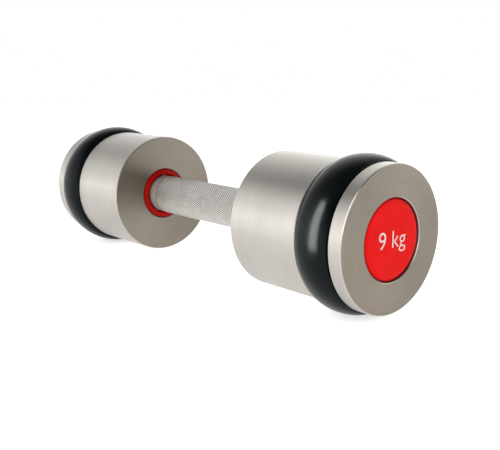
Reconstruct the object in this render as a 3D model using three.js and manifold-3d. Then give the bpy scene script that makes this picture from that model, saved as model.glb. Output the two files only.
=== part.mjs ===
// Round steel dumbbell with a revolving grip, as an assembly of separate solids.
// Millimetres, +Z up. The axis of the bar is X and the origin is the middle of the grip.
// Each head is an inner weight, a rubber bumper ring in a groove, and an end cap with a badge.
// One long shaft joins the heads, and the knurled grip sleeve turns on it in two bushes.

import * as THREE from "three";
import { mergeVertices } from "three/addons/utils/BufferGeometryUtils.js";
import Module from "manifold-3d";

const wasm = await Module();
wasm.setup();

// ---------- driving dimensions ----------

// Heads
const HEAD_RADIUS = 45;
const GRIP_SPAN = 136.5; // between the inner faces of the two heads
const WEIGHT_LENGTH = 57;
const GROOVE_WIDTH = 26.5; // for the bumper ring, between weight and end plate
const GROOVE_DEPTH = 5.5; // down to the end cap's hub, which the bumper ring sits on
const END_PLATE_THICKNESS = 9.5;
const EDGE_CHAMFER = 0.6;

// Bumper ring
const BUMPER_PROUD = 4; // how far the crest stands above the steel
const BUMPER_SHOULDER_DROP = 1; // where the flat sides end, below the steel
const BUMPER_ARC_STEPS = 12;

// Badge in the end cap
const BADGE_RADIUS = 25.1;
const BADGE_THICKNESS = 3.2;
const BADGE_SETBACK = 0.4; // of the badge's face from the end face
const BADGE_EDGE_WIDTH = 4.2; // the rounded rim of the badge, across
const BADGE_EDGE_DROP = 1.8; // and down
const BADGE_EDGE_STEPS = 4;
const TAPE_THICKNESS = 0.6;
const TAPE_INSET = 2; // of the tape ring's edges from the edges of its seat

// Revolving grip
const GRIP_RADIUS = 14.4; // over the knurl
const KNURL_DEPTH = 0.3;
const GRIP_LAND_LENGTH = 7; // visible length of the smooth band at each end
const GRIP_ENTRY = 3; // how far the sleeve enters each head
const SLEEVE_WALL = 1.9;
const BUSH_WALL = 2;
const BUSH_LENGTH = 20;
const BUSH_FLANGE_THICKNESS = 1.5;
const THRUST_WASHER_THICKNESS = 1.5;
const COLLAR_WALL = 4.8;
const COLLAR_SETBACK = 0.3;
const COLLAR_EDGE = 0.8; // chamfer round the outside of its face
const COLLAR_PROUD = 2; // how far its face rises out of the head, towards the grip
const COLLAR_LIP = 0.8; // chamfer round the inside of its face

// What fixes the heads to the shaft
const SHAFT_SHOULDER = 1.5; // step from the shaft down to its ends, which a weight seats on
const KEY_WIDTH = 5;
const KEY_HEIGHT = 5;
const KEY_LENGTH = 22;
const KEY_SINK = 3; // depth of the key's slot in the shaft
const DOWEL_RADIUS = 3;
const DOWEL_LENGTH = 16;
const DOWEL_CIRCLE = 22; // distance of a dowel from the axis
const SCREW_RADIUS = 5;
const SCREW_ENGAGEMENT = 22; // length of thread in the shaft
const SCREW_HEAD_RADIUS = 8;
const SCREW_HEAD_HEIGHT = 10;
const SOCKET_ACROSS_FLATS = 8;
const SOCKET_DEPTH = 5;
const SOCKET_SIDES = 6;
const SCREW_WEB = 7; // steel of the end cap that the screw clamps
const FLAT_WASHER_RADIUS = 12;
const FLAT_WASHER_THICKNESS = 2;
const LOCK_WASHER_RADIUS = 9;
const LOCK_WASHER_THICKNESS = 2.2;
const LOCK_WASHER_SLIT = 2;

// Clearances
const SEAT_GAP = 0.15; // between pieces that sit on each other
const FIT_GAP = 0.2; // round a piece that is pressed or pushed in
const RUN_GAP = 0.2; // round and beside what turns
const COLLAR_GAP = 0.7; // between the sleeve's end and the collar round it
const WASHER_POCKET_GAP = 2; // round the flat washer, for a tool
const SCREW_HEAD_GAP = 2.7; // between the screw's head and the badge's seat

// Facets round the axis
const LARGE_FACETS = 48;
const MEDIUM_FACETS = 36;
const SMALL_FACETS = 24;
const PIN_FACETS = 16;

// ---------- derived radii ----------

const hubRadius = HEAD_RADIUS - GROOVE_DEPTH;
const bumperCrest = HEAD_RADIUS + BUMPER_PROUD;
const bumperShoulder = HEAD_RADIUS - BUMPER_SHOULDER_DROP;
const bumperBore = hubRadius + FIT_GAP;

const landRadius = GRIP_RADIUS - KNURL_DEPTH;
const sleeveBore = landRadius - SLEEVE_WALL;
const bushRadius = sleeveBore - FIT_GAP;
const bushBore = bushRadius - BUSH_WALL;
const shaftRadius = bushBore - RUN_GAP;
const journalRadius = shaftRadius - SHAFT_SHOULDER;
const headBore = journalRadius + FIT_GAP;
const collarBore = landRadius + COLLAR_GAP;
const collarRadius = collarBore + COLLAR_WALL;
const counterboreRadius = collarRadius + FIT_GAP;
const thrustRadius = collarBore - FIT_GAP;
const keySlotFloor = journalRadius - KEY_SINK;

const badgeWall = BADGE_RADIUS + FIT_GAP;
const screwPocket = FLAT_WASHER_RADIUS + WASHER_POCKET_GAP;
const screwHole = SCREW_RADIUS + FIT_GAP;

// ---------- derived stations along the axis, for the head on +X ----------

const weightInner = GRIP_SPAN / 2;
const weightOuter = weightInner + WEIGHT_LENGTH;
const capInner = weightOuter + SEAT_GAP;
const plateInner = weightOuter + GROOVE_WIDTH;
const capOuter = plateInner + END_PLATE_THICKNESS;

// Where the grip enters the weight, outwards
const sleeveEnd = weightInner + GRIP_ENTRY;
const flangeInner = sleeveEnd + SEAT_GAP;
const flangeOuter = flangeInner + BUSH_FLANGE_THICKNESS;
const thrustInner = flangeOuter + RUN_GAP;
const shoulder = thrustInner + THRUST_WASHER_THICKNESS;
const counterboreFloor = shoulder + SEAT_GAP;
const collarRim = weightInner + COLLAR_SETBACK;
const collarNose = weightInner - COLLAR_PROUD;
const keyStart = counterboreFloor + KEY_SINK;

// From the end face inwards
const badgeFace = capOuter - BADGE_SETBACK;
const badgeBack = badgeFace - BADGE_THICKNESS;
const tapeBack = badgeBack - SEAT_GAP - TAPE_THICKNESS;
const badgeSeat = tapeBack - SEAT_GAP;
const screwHeadOuter = badgeSeat - SCREW_HEAD_GAP;
const screwHeadInner = screwHeadOuter - SCREW_HEAD_HEIGHT;
const lockWasherInner = screwHeadInner - SEAT_GAP - LOCK_WASHER_THICKNESS;
const flatWasherInner = lockWasherInner - SEAT_GAP - FLAT_WASHER_THICKNESS;
const pocketFloor = flatWasherInner - SEAT_GAP;
const registerFloor = pocketFloor - SCREW_WEB;
const journalEnd = registerFloor - SEAT_GAP;
const screwTip = journalEnd - SCREW_ENGAGEMENT;
const tappedHoleEnd = screwTip - SCREW_RADIUS;

// ---------- materials ----------

const finish = (color, roughness, metalness) =>
  new THREE.MeshStandardMaterial({ color, roughness, metalness });
const turnedSteel = finish(0xb9b4aa, 0.32, 1);
const knurledSteel = finish(0xb4b0a8, 0.42, 1);
const groundSteel = finish(0xa8a8a6, 0.3, 1);
const screwSteel = finish(0x2b2c2e, 0.45, 0.9);
const zincSteel = finish(0xb6bac0, 0.35, 1);
const bronze = finish(0xa87b45, 0.4, 1);
const rubber = finish(0x0b0d0e, 0.35, 0);
const redPlastic = finish(0xe0201c, 0.4, 0);
const redCollarPlastic = finish(0xb5120c, 0.4, 0);
const greyTape = finish(0x55585a, 0.9, 0);

// ---------- shape helpers ----------

// A solid turned about X from a closed profile of [x, radius] points, listed so that
// its outside is walked towards +X. Facets are set with a flat at the bottom.
function turned(profile, facets) {
  const points = profile.map(([x, radius]) => new THREE.Vector2(radius, x));
  const onAxis = profile[0][1] === 0 && profile[profile.length - 1][1] === 0;
  if (!onAxis) points.push(points[0].clone());
  const geometry = new THREE.LatheGeometry(points, facets, Math.PI / facets);
  return geometry.rotateZ(-Math.PI / 2);
}

// A plain ring or washer.
function ring(from, to, bore, radius, facets) {
  return turned([[from, bore], [from, radius], [to, radius], [to, bore]], facets);
}

// A pin or rod along X with the same chamfer at both ends.
function rod(from, to, radius, chamfer, facets) {
  return turned(
    [
      [from, 0],
      [from, radius - chamfer],
      [from + chamfer, radius],
      [to - chamfer, radius],
      [to, radius - chamfer],
      [to, 0],
    ],
    facets,
  );
}

// A box from its middle and its three sides.
function block(x, y, z, length, width, height) {
  return new THREE.BoxGeometry(length, width, height).translate(x, y, z);
}

// Points along an arc, at even steps of its angle, without the arc's first point.
function arc(steps, turn, pointAt) {
  const points = [];
  for (let i = 1; i <= steps; i++) points.push(pointAt(turn * (i / steps)));
  return points;
}

function toSolid(geometry) {
  const bare = geometry.clone();
  bare.deleteAttribute("normal");
  bare.deleteAttribute("uv");
  const merged = mergeVertices(bare, 1e-4);
  return new wasm.Manifold(
    new wasm.Mesh({
      numProp: 3,
      vertProperties: merged.attributes.position.array,
      triVerts: new Uint32Array(merged.index.array),
    }),
  );
}

function fromSolid(solid) {
  const mesh = solid.getMesh();
  const geometry = new THREE.BufferGeometry();
  geometry.setAttribute("position", new THREE.BufferAttribute(mesh.vertProperties, 3));
  geometry.setIndex(new THREE.BufferAttribute(mesh.triVerts, 1));
  geometry.computeVertexNormals();
  return geometry;
}

// The body with every cutter taken away.
function cut(body, ...cutters) {
  let solid = toSolid(body);
  for (const cutter of cutters) solid = solid.subtract(toSolid(cutter));
  return fromSolid(solid);
}

// ---------- pieces of the head on +X ----------

const dowelSpots = [
  { name: "front", y: -DOWEL_CIRCLE },
  { name: "back", y: DOWEL_CIRCLE },
];
const dowelHole = (spot) =>
  rod(
    weightOuter - DOWEL_LENGTH / 2 - FIT_GAP,
    capInner + DOWEL_LENGTH / 2 + FIT_GAP,
    DOWEL_RADIUS + FIT_GAP,
    0.3,
    PIN_FACETS,
  ).translate(0, spot.y, 0);

function keyBlock(growth) {
  return block(
    keyStart + KEY_LENGTH / 2,
    0,
    keySlotFloor + KEY_HEIGHT / 2,
    KEY_LENGTH + 2 * growth,
    KEY_WIDTH + 2 * growth,
    KEY_HEIGHT + 2 * growth,
  );
}

// The keyway is broached from the counterbore, so it runs out through the floor there.
function keyway() {
  const from = shoulder - KEY_SINK;
  const to = keyStart + KEY_LENGTH + FIT_GAP;
  const top = keySlotFloor + KEY_HEIGHT + FIT_GAP;
  return block((from + to) / 2, 0, top / 2, to - from, KEY_WIDTH + 2 * FIT_GAP, top);
}

function weight() {
  const c = EDGE_CHAMFER;
  const body = turned(
    [
      [counterboreFloor, headBore],
      [counterboreFloor, counterboreRadius],
      [weightInner + c / 2, counterboreRadius],
      [weightInner, counterboreRadius + c / 2],
      [weightInner, HEAD_RADIUS - c],
      [weightInner + c, HEAD_RADIUS],
      [weightOuter - c, HEAD_RADIUS],
      [weightOuter, HEAD_RADIUS - c],
      [weightOuter, headBore],
    ],
    LARGE_FACETS,
  );
  return cut(body, keyway(), ...dowelSpots.map(dowelHole));
}

function endCap() {
  const c = EDGE_CHAMFER;
  const body = turned(
    [
      [registerFloor, screwHole],
      [registerFloor, headBore],
      [capInner, headBore],
      [capInner, hubRadius],
      [plateInner, hubRadius],
      [plateInner, HEAD_RADIUS - c],
      [plateInner + c, HEAD_RADIUS],
      [capOuter - c, HEAD_RADIUS],
      [capOuter, HEAD_RADIUS - c],
      [capOuter, badgeWall + c / 2],
      [capOuter - c / 2, badgeWall],
      [badgeSeat, badgeWall],
      [badgeSeat, screwPocket],
      [pocketFloor, screwPocket],
      [pocketFloor, screwHole],
    ],
    LARGE_FACETS,
  );
  return cut(body, ...dowelSpots.map(dowelHole));
}

function bumper() {
  const middle = (weightOuter + plateInner) / 2;
  const halfWidth = GROOVE_WIDTH / 2 - FIT_GAP;
  const rise = bumperCrest - bumperShoulder;
  const crown = arc(BUMPER_ARC_STEPS, Math.PI, (angle) => [
    middle - halfWidth * Math.cos(angle),
    bumperShoulder + rise * Math.sin(angle),
  ]);
  return turned(
    [
      [middle - halfWidth, bumperBore],
      [middle - halfWidth, bumperShoulder],
      ...crown,
      [middle + halfWidth, bumperBore],
    ],
    LARGE_FACETS,
  );
}

function badge() {
  const flat = BADGE_RADIUS - BADGE_EDGE_WIDTH;
  const edge = arc(BADGE_EDGE_STEPS, Math.PI / 2, (angle) => [
    badgeFace - BADGE_EDGE_DROP * (1 - Math.sin(angle)),
    flat + BADGE_EDGE_WIDTH * Math.cos(angle),
  ]);
  return turned(
    [
      [badgeBack, 0],
      [badgeBack, BADGE_RADIUS],
      [badgeFace - BADGE_EDGE_DROP, BADGE_RADIUS],
      ...edge,
      [badgeFace, 0],
    ],
    LARGE_FACETS,
  );
}

// The collar's face is a shallow cone that rises from the head towards the grip.
function collar() {
  return turned(
    [
      [shoulder, collarBore],
      [collarNose + COLLAR_LIP, collarBore],
      [collarNose, collarBore + COLLAR_LIP],
      [collarRim, collarRadius - COLLAR_EDGE],
      [collarRim + COLLAR_EDGE, collarRadius],
      [shoulder, collarRadius],
    ],
    MEDIUM_FACETS,
  );
}

// The pressed-in bush: a sleeve inside the grip, and a flange that takes the end thrust.
function gripBush() {
  return turned(
    [
      [sleeveEnd - BUSH_LENGTH, bushBore],
      [sleeveEnd - BUSH_LENGTH, bushRadius],
      [flangeInner, bushRadius],
      [flangeInner, landRadius],
      [flangeOuter, landRadius],
      [flangeOuter, bushBore],
    ],
    MEDIUM_FACETS,
  );
}

function endScrew() {
  const socketRadius = SOCKET_ACROSS_FLATS / 2 / Math.cos(Math.PI / SOCKET_SIDES);
  const c = EDGE_CHAMFER;
  const body = turned(
    [
      [screwTip, 0],
      [screwTip, SCREW_RADIUS - c],
      [screwTip + c, SCREW_RADIUS],
      [screwHeadInner, SCREW_RADIUS],
      [screwHeadInner, SCREW_HEAD_RADIUS],
      [screwHeadOuter - c, SCREW_HEAD_RADIUS],
      [screwHeadOuter, SCREW_HEAD_RADIUS - c],
      [screwHeadOuter, 0],
    ],
    SMALL_FACETS,
  );
  const socket = rod(
    screwHeadOuter - SOCKET_DEPTH,
    screwHeadOuter + SOCKET_DEPTH,
    socketRadius,
    0.1,
    SOCKET_SIDES,
  );
  return cut(body, socket);
}

// A spring washer: a square-section ring with one slit.
function lockWasher() {
  const body = ring(
    lockWasherInner,
    lockWasherInner + LOCK_WASHER_THICKNESS,
    screwHole,
    LOCK_WASHER_RADIUS,
    SMALL_FACETS,
  );
  const reach = LOCK_WASHER_RADIUS - screwHole;
  const slit = block(
    lockWasherInner + LOCK_WASHER_THICKNESS / 2,
    0,
    screwHole + reach / 2,
    LOCK_WASHER_THICKNESS * 2,
    LOCK_WASHER_SLIT,
    reach * 2,
  );
  return cut(body, slit);
}

const headPieces = {
  weight: [weight, turnedSteel],
  end_cap: [endCap, turnedSteel],
  bumper_ring: [bumper, rubber],
  badge: [badge, redPlastic],
  badge_tape: [
    () =>
      ring(
        tapeBack,
        tapeBack + TAPE_THICKNESS,
        screwPocket + TAPE_INSET,
        badgeWall - TAPE_INSET,
        MEDIUM_FACETS,
      ),
    greyTape,
  ],
  grip_collar: [collar, redCollarPlastic],
  thrust_washer: [
    () => ring(thrustInner, shoulder, shaftRadius + FIT_GAP, thrustRadius, MEDIUM_FACETS),
    groundSteel,
  ],
  end_screw: [endScrew, screwSteel],
  flat_washer: [
    () =>
      ring(
        flatWasherInner,
        flatWasherInner + FLAT_WASHER_THICKNESS,
        screwHole,
        FLAT_WASHER_RADIUS,
        SMALL_FACETS,
      ),
    zincSteel,
  ],
  lock_washer: [lockWasher, zincSteel],
  shaft_key: [() => keyBlock(0), groundSteel],
};
for (const spot of dowelSpots) {
  headPieces["dowel_" + spot.name] = [
    () =>
      rod(
        weightOuter - DOWEL_LENGTH / 2,
        capInner + DOWEL_LENGTH / 2,
        DOWEL_RADIUS,
        EDGE_CHAMFER,
        PIN_FACETS,
      ).translate(0, spot.y, 0),
    groundSteel,
  ];
}

// ---------- shaft and grip ----------

function shaft() {
  const c = EDGE_CHAMFER;
  const body = turned(
    [
      [-journalEnd, 0],
      [-journalEnd, journalRadius - c],
      [-journalEnd + c, journalRadius],
      [-shoulder, journalRadius],
      [-shoulder, shaftRadius],
      [shoulder, shaftRadius],
      [shoulder, journalRadius],
      [journalEnd - c, journalRadius],
      [journalEnd, journalRadius - c],
      [journalEnd, 0],
    ],
    MEDIUM_FACETS,
  );
  const overrun = journalRadius;
  const tapped = rod(tappedHoleEnd, journalEnd + overrun, screwHole, 0.3, SMALL_FACETS);
  const slot = keyBlock(FIT_GAP / 2);
  const cutters = [tapped, slot];
  const mirrored = cutters.map((g) => g.clone().rotateZ(Math.PI));
  return cut(body, ...cutters, ...mirrored);
}

// The grip tube, with a step where the knurl begins and ends.
function gripSleeve() {
  const knurlEnd = weightInner - GRIP_LAND_LENGTH;
  const step = KNURL_DEPTH;
  return turned(
    [
      [-sleeveEnd, sleeveBore],
      [-sleeveEnd, landRadius - step],
      [-sleeveEnd + step, landRadius],
      [-knurlEnd, landRadius],
      [-knurlEnd + step, GRIP_RADIUS],
      [knurlEnd - step, GRIP_RADIUS],
      [knurlEnd, landRadius],
      [sleeveEnd - step, landRadius],
      [sleeveEnd, landRadius - step],
      [sleeveEnd, sleeveBore],
    ],
    LARGE_FACETS,
  );
}

// ---------- assembly ----------

const dumbbell = new THREE.Group();

function add(parent, name, geometry, material) {
  const mesh = new THREE.Mesh(geometry, material);
  mesh.name = name;
  parent.add(mesh);
}

const heads = new THREE.Group();
const grip = new THREE.Group();
dumbbell.add(heads, grip);

add(heads, "core_shaft", shaft(), groundSteel);
add(grip, "grip_sleeve", gripSleeve(), knurledSteel);

// The head on -X is the one on +X turned half round the Z axis.
for (const side of ["right", "left"]) {
  const turn = side === "right" ? 0 : Math.PI;
  for (const [name, [make, material]] of Object.entries(headPieces)) {
    add(heads, `${name}_${side}`, make().rotateZ(turn), material);
  }
  add(grip, `grip_bush_${side}`, gripBush().rotateZ(turn), bronze);
}

export default dumbbell;
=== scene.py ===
# %% [markdown]
# # A round steel dumbbell with a revolving grip
#
# The object is a shop-floor thing: two turned steel heads on a knurled grip, a moulded rubber
# ring let into each head, and a red plastic badge in each end. Nearly every piece came off a
# lathe, so nearly every mesh here is a profile turned about the bar's axis, which is X.
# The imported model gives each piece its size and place, and this script gives it its surface.

import math

import bmesh
import bpy
from mathutils import Matrix, Vector


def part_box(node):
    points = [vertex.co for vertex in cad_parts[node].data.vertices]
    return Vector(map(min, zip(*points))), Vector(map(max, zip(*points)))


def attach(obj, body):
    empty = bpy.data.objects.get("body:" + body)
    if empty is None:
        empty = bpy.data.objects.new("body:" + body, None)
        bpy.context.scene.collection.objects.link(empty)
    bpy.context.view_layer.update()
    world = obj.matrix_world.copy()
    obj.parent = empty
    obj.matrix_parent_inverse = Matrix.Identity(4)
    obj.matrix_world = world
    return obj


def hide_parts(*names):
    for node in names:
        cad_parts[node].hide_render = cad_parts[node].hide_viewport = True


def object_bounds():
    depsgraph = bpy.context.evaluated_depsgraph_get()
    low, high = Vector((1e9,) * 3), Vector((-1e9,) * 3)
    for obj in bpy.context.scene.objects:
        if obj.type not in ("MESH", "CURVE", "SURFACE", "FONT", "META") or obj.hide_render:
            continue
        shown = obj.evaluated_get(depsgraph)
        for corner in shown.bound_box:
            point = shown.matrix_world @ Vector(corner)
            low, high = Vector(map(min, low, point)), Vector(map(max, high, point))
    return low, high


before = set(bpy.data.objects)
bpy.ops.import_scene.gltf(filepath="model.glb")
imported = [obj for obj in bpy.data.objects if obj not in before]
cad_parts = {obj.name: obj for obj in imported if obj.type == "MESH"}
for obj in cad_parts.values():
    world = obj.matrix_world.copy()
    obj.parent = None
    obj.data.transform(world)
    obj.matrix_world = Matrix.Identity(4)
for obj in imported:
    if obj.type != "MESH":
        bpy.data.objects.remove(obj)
cad_low, cad_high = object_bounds()
print("CAD box in mm:", [round(side * 1000, 1) for side in cad_high - cad_low])

# %% [markdown]
# ## Measures
#
# All lengths are in metres. MM turns a figure that a maker would say in millimetres into
# metres. The CAD solids are many-sided prisms, so a radius read from a node's box is the
# distance to a flat. Dividing by the cosine of half a side's angle gives the radius back.

# %% Measures read from the frame
MM = 0.001
HALF_TURN = Matrix.Rotation(math.pi, 4, "Z")
BAR_AXIS = Vector((1, 0, 0))

LARGE_FLATS = 48
MEDIUM_FLATS = 36
SMALL_FLATS = 24


def span_of(node):
    """Where a node starts and ends along the bar."""
    low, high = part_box(node)
    return low.x, high.x


def radius_of(node, flats):
    """The radius of a turned node, from its height and its number of flats."""
    low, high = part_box(node)
    return (high.z - low.z) / 2 / math.cos(math.pi / flats)


weight_in, weight_out = span_of("weight_right")
cap_in, cap_out = span_of("end_cap_right")
ring_in, ring_out = span_of("bumper_ring_right")
badge_back, badge_face = span_of("badge_right")
tape_in, tape_out = span_of("badge_tape_right")
collar_out = span_of("grip_collar_right")[1]
sleeve_end = span_of("grip_sleeve")[1]
bush_in, bush_out = span_of("grip_bush_right")
thrust_in, thrust_out = span_of("thrust_washer_right")
shaft_end = span_of("core_shaft")[1]

head_radius = radius_of("weight_right", LARGE_FLATS)
ring_radius = radius_of("bumper_ring_right", LARGE_FLATS)
badge_radius = radius_of("badge_right", LARGE_FLATS)
collar_radius = radius_of("grip_collar_right", MEDIUM_FLATS)
grip_radius = radius_of("grip_sleeve", LARGE_FLATS)
land_radius = radius_of("grip_bush_right", MEDIUM_FLATS)
thrust_radius = radius_of("thrust_washer_right", MEDIUM_FLATS)
shaft_radius = radius_of("core_shaft", MEDIUM_FLATS)
print("head radius", round(head_radius / MM, 2), "mm")
print("grip radius", round(grip_radius / MM, 2), "mm")

# %% [markdown]
# Bores and steps don't show in a node's box, so they are named here, with the clearances that
# the pieces are made to.

# %% Bores, steps and clearances
FIT_GAP = 0.2 * MM
SEAT_GAP = 0.15 * MM
GROOVE_DEPTH = 5.5 * MM
END_PLATE = 9.5 * MM
SLEEVE_WALL = 1.9 * MM
BUSH_WALL = 2 * MM
BUSH_FLANGE = 1.5 * MM
COLLAR_WALL = 4.8 * MM
SHAFT_SHOULDER = 1.5 * MM
SCREW_RADIUS = 5 * MM
SCREW_POCKET = 14 * MM
SCREW_WEB = 7 * MM
LAND_LENGTH = 7 * MM

hub_radius = head_radius - GROOVE_DEPTH
plate_in = cap_out - END_PLATE
sleeve_bore = land_radius - SLEEVE_WALL
bush_radius = sleeve_bore - FIT_GAP
bush_bore = bush_radius - BUSH_WALL
collar_bore = collar_radius - COLLAR_WALL
journal_radius = shaft_radius - SHAFT_SHOULDER
head_bore = journal_radius + FIT_GAP
screw_hole = SCREW_RADIUS + FIT_GAP
counterbore_floor = collar_out + SEAT_GAP
counterbore_radius = collar_radius + FIT_GAP
badge_wall = badge_radius + FIT_GAP
badge_seat = tape_in - SEAT_GAP
register_floor = shaft_end + SEAT_GAP
pocket_floor = register_floor + SCREW_WEB
print("hub radius", round(hub_radius / MM, 2), "mm, shaft bore", round(head_bore / MM, 2), "mm")

# %% [markdown]
# ## Colour and nodes
#
# Colours are written the way a paint chart or a picture editor gives them, as sRGB hex, and
# one function turns them into the linear values that the renderer adds up. Shader trees are
# built with one small function that adds a node, sets its sockets and joins its links.

# %% Colour and node helpers
def linear(hex_colour):
    """An sRGB colour such as "CBC7C0" as linear red, green, blue and alpha."""
    channels = [int(hex_colour[i : i + 2], 16) / 255 for i in (0, 2, 4)]
    return [c / 12.92 if c <= 0.04045 else ((c + 0.055) / 1.055) ** 2.4 for c in channels] + [1.0]


def add_node(tree, kind, inputs=None, links=None, **settings):
    """Adds a node with its settings, its socket values and the sockets that feed it."""
    node = tree.nodes.new(kind)
    for name, value in settings.items():
        setattr(node, name, value)
    for socket, value in (inputs or {}).items():
        node.inputs[socket].default_value = value
    for socket, source in (links or {}).items():
        tree.links.new(source, node.inputs[socket])
    return node


def start_material(name, hex_colour, roughness, metallic=0.0, **sockets):
    """A material with a Principled shader, and the shader's tree to build on."""
    material = bpy.data.materials.new(name)
    material.use_nodes = True
    tree = material.node_tree
    tree.nodes.clear()
    shader = add_node(
        tree,
        "ShaderNodeBsdfPrincipled",
        {"Base Color": linear(hex_colour), "Roughness": roughness, "Metallic": metallic}
        | {socket.replace("_", " "): value for socket, value in sockets.items()},
    )
    add_node(tree, "ShaderNodeOutputMaterial", links={"Surface": shader.outputs["BSDF"]})
    return material, tree, shader


print("example: mid grey 808080 is", [round(c, 3) for c in linear("808080")[:3]], "in linear light")

# %% [markdown]
# ## Lathe coordinates
#
# A lathe tool leaves marks that run round the axis. To draw them, a pattern needs to know
# how far along the bar a point is, how far from the axis, and where round the axis. The
# angle itself jumps where it passes half a turn, which would leave a seam, so its cosine and
# sine are used instead: together they go round smoothly. Stretching the first two and
# squeezing the last two turns plain noise into long thin tool marks.

# %% Lathe coordinates
def across_bar(tree):
    """A point's place seen along the bar, as a vector from the axis."""
    place = add_node(tree, "ShaderNodeTexCoord")
    flat = add_node(
        tree,
        "ShaderNodeVectorMath",
        {1: (0, 1, 1)},
        {0: place.outputs["Object"]},
        operation="MULTIPLY",
    )
    return flat.outputs[0]


def off_axis(tree):
    """How far a point is from the bar's axis."""
    radius = add_node(
        tree, "ShaderNodeVectorMath", links={0: across_bar(tree)}, operation="LENGTH"
    )
    return radius.outputs["Value"]


def tool_marks(tree, per_mm, round_count):
    """Noise drawn out round the bar: per_mm marks to a millimetre, round_count to the half turn."""
    place = add_node(tree, "ShaderNodeTexCoord")
    split = add_node(tree, "ShaderNodeSeparateXYZ", links={0: place.outputs["Object"]})
    unit = add_node(
        tree, "ShaderNodeVectorMath", links={0: across_bar(tree)}, operation="NORMALIZE"
    )
    turned_by = add_node(
        tree,
        "ShaderNodeVectorMath",
        {1: (1, round_count, round_count)},
        {0: unit.outputs[0]},
        operation="MULTIPLY",
    )
    x_scaled = add_node(
        tree,
        "ShaderNodeMath",
        {1: per_mm / MM},
        {0: split.outputs["X"]},
        operation="MULTIPLY",
    )
    r_scaled = add_node(
        tree,
        "ShaderNodeMath",
        {1: per_mm / MM},
        {0: off_axis(tree)},
        operation="MULTIPLY",
    )
    shift = add_node(
        tree, "ShaderNodeCombineXYZ", links={"X": x_scaled.outputs[0]}
    )
    where = add_node(
        tree,
        "ShaderNodeVectorMath",
        links={0: turned_by.outputs[0], 1: shift.outputs[0]},
        operation="ADD",
    )
    noise = add_node(
        tree,
        "ShaderNodeTexNoise",
        {"Scale": 1.0, "Detail": 2.0, "Roughness": 0.6},
        {"Vector": where.outputs[0], "W": r_scaled.outputs[0]},
        noise_dimensions="4D",
    )
    return noise.outputs["Fac"]


def spread(tree, source, low, high, clip_low=0.3, clip_high=0.7):
    """Stretches a noise output so that it runs from low to high."""
    ranged = add_node(
        tree,
        "ShaderNodeMapRange",
        {"From Min": clip_low, "From Max": clip_high, "To Min": low, "To Max": high},
        {"Value": source},
    )
    return ranged.outputs["Result"]


def tinted(tree, source, dark_hex, light_hex):
    """A colour between two, chosen by a value from 0 to 1."""
    mix = add_node(
        tree,
        "ShaderNodeMix",
        {6: linear(dark_hex), 7: linear(light_hex)},
        {"Factor": source},
        data_type="RGBA",
    )
    return mix.outputs[2]


def grain(tree, per_mm, detail=2.0):
    """Even noise in all directions, with per_mm cells to a millimetre."""
    place = add_node(tree, "ShaderNodeTexCoord")
    noise = add_node(
        tree,
        "ShaderNodeTexNoise",
        {"Scale": per_mm / MM, "Detail": detail, "Roughness": 0.6},
        {"Vector": place.outputs["Object"]},
    )
    return noise.outputs["Fac"]


print("a scratch right round a head is", round(math.tau * head_radius / MM), "mm long")

# %% [markdown]
# ## Steel of the heads
#
# The heads are stainless bar. Their rims were turned and then polished with fine emery that
# ran round the bar, so every scratch is part of a circle. A surface like that is smooth
# along the scratch and rough across it: reflections stay sharp in the direction round the
# bar and smear along it. That is anisotropy. The Tangent node gives the direction round the
# X axis, and the quarter-turn rotation puts the rough direction across the scratches. Fine
# lines in a bump map alone would look scratched, but no highlight would stretch across them.
#
# The flat faces were only faced off in the lathe, and the tool's feed leaves a fine spiral.
# Their steel is given a greyer and warmer colour than the rim's, partly for that finish and
# partly as painted shade for the darker part of the room that the faces mirror.

# %% Turned steel
RIM_MARKS_PER_MM = 2.2  # emery leaves about 20, drawn coarser so that it shows
FACE_MARKS_PER_MM = 1.6  # the tool's feed is 0.1 mm, drawn coarser so that it shows


def turned_steel(name, dark_hex, light_hex, roughness, marks_per_mm, depth):
    material, tree, shader = start_material(
        name, light_hex, roughness, metallic=1.0, Anisotropic=0.75, Anisotropic_Rotation=0.25
    )
    shader.inputs["Specular Tint"].default_value = linear("EEEEEE")
    marks = tool_marks(tree, marks_per_mm, 1.6)
    cloud = tool_marks(tree, 0.05, 1.1)
    both = add_node(tree, "ShaderNodeMix", {"Factor": 0.5}, {2: marks, 3: cloud}).outputs[0]
    tree.links.new(
        tinted(tree, spread(tree, both, 0, 1, 0.35, 0.65), dark_hex, light_hex),
        shader.inputs["Base Color"],
    )
    tree.links.new(
        spread(tree, both, roughness - 0.04, roughness + 0.05), shader.inputs["Roughness"]
    )
    bump = add_node(
        tree,
        "ShaderNodeBump",
        {"Strength": 0.35, "Distance": depth},
        {"Height": marks},
    )
    tree.links.new(bump.outputs["Normal"], shader.inputs["Normal"])
    round_the_bar = add_node(tree, "ShaderNodeTangent", direction_type="RADIAL", axis="X")
    tree.links.new(round_the_bar.outputs["Tangent"], shader.inputs["Tangent"])
    return material


rim_steel = turned_steel(
    "emery_polished_steel_rim", "C3BFB8", "D0CCC5", 0.3, RIM_MARKS_PER_MM, 0.01 * MM
)
# Painted shade in part: the faces' darker, warmer colour stands for their faced finish and also for
# the darker room they mirror.
face_steel_painted_shade = turned_steel(
    "lathe_faced_steel_painted_shade", "8E8579", "979084", 0.36, FACE_MARKS_PER_MM, 0.015 * MM
)
print("steel finishes:", rim_steel.name, "and", face_steel_painted_shade.name)

# %% [markdown]
# ## Turning a profile
#
# A lathe makes a solid by turning a profile about an axis, and a mesh can be made the same
# way: each point of the profile becomes a ring of vertices, and neighbouring rings are joined
# with faces. Blender's Screw modifier does the same from a curve, but in code the profile's
# points come straight from the measures. A real edge is never perfectly sharp. The bright
# line along it is light caught on a small rounding or chamfer, so every visible corner of a
# profile is eased by a short arc or a straight cut.

# %% Profiles with eased corners
EASE_STEPS = 5
CHAMFER = 1  # a single step cuts the corner straight, as a chamfering tool does


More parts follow.
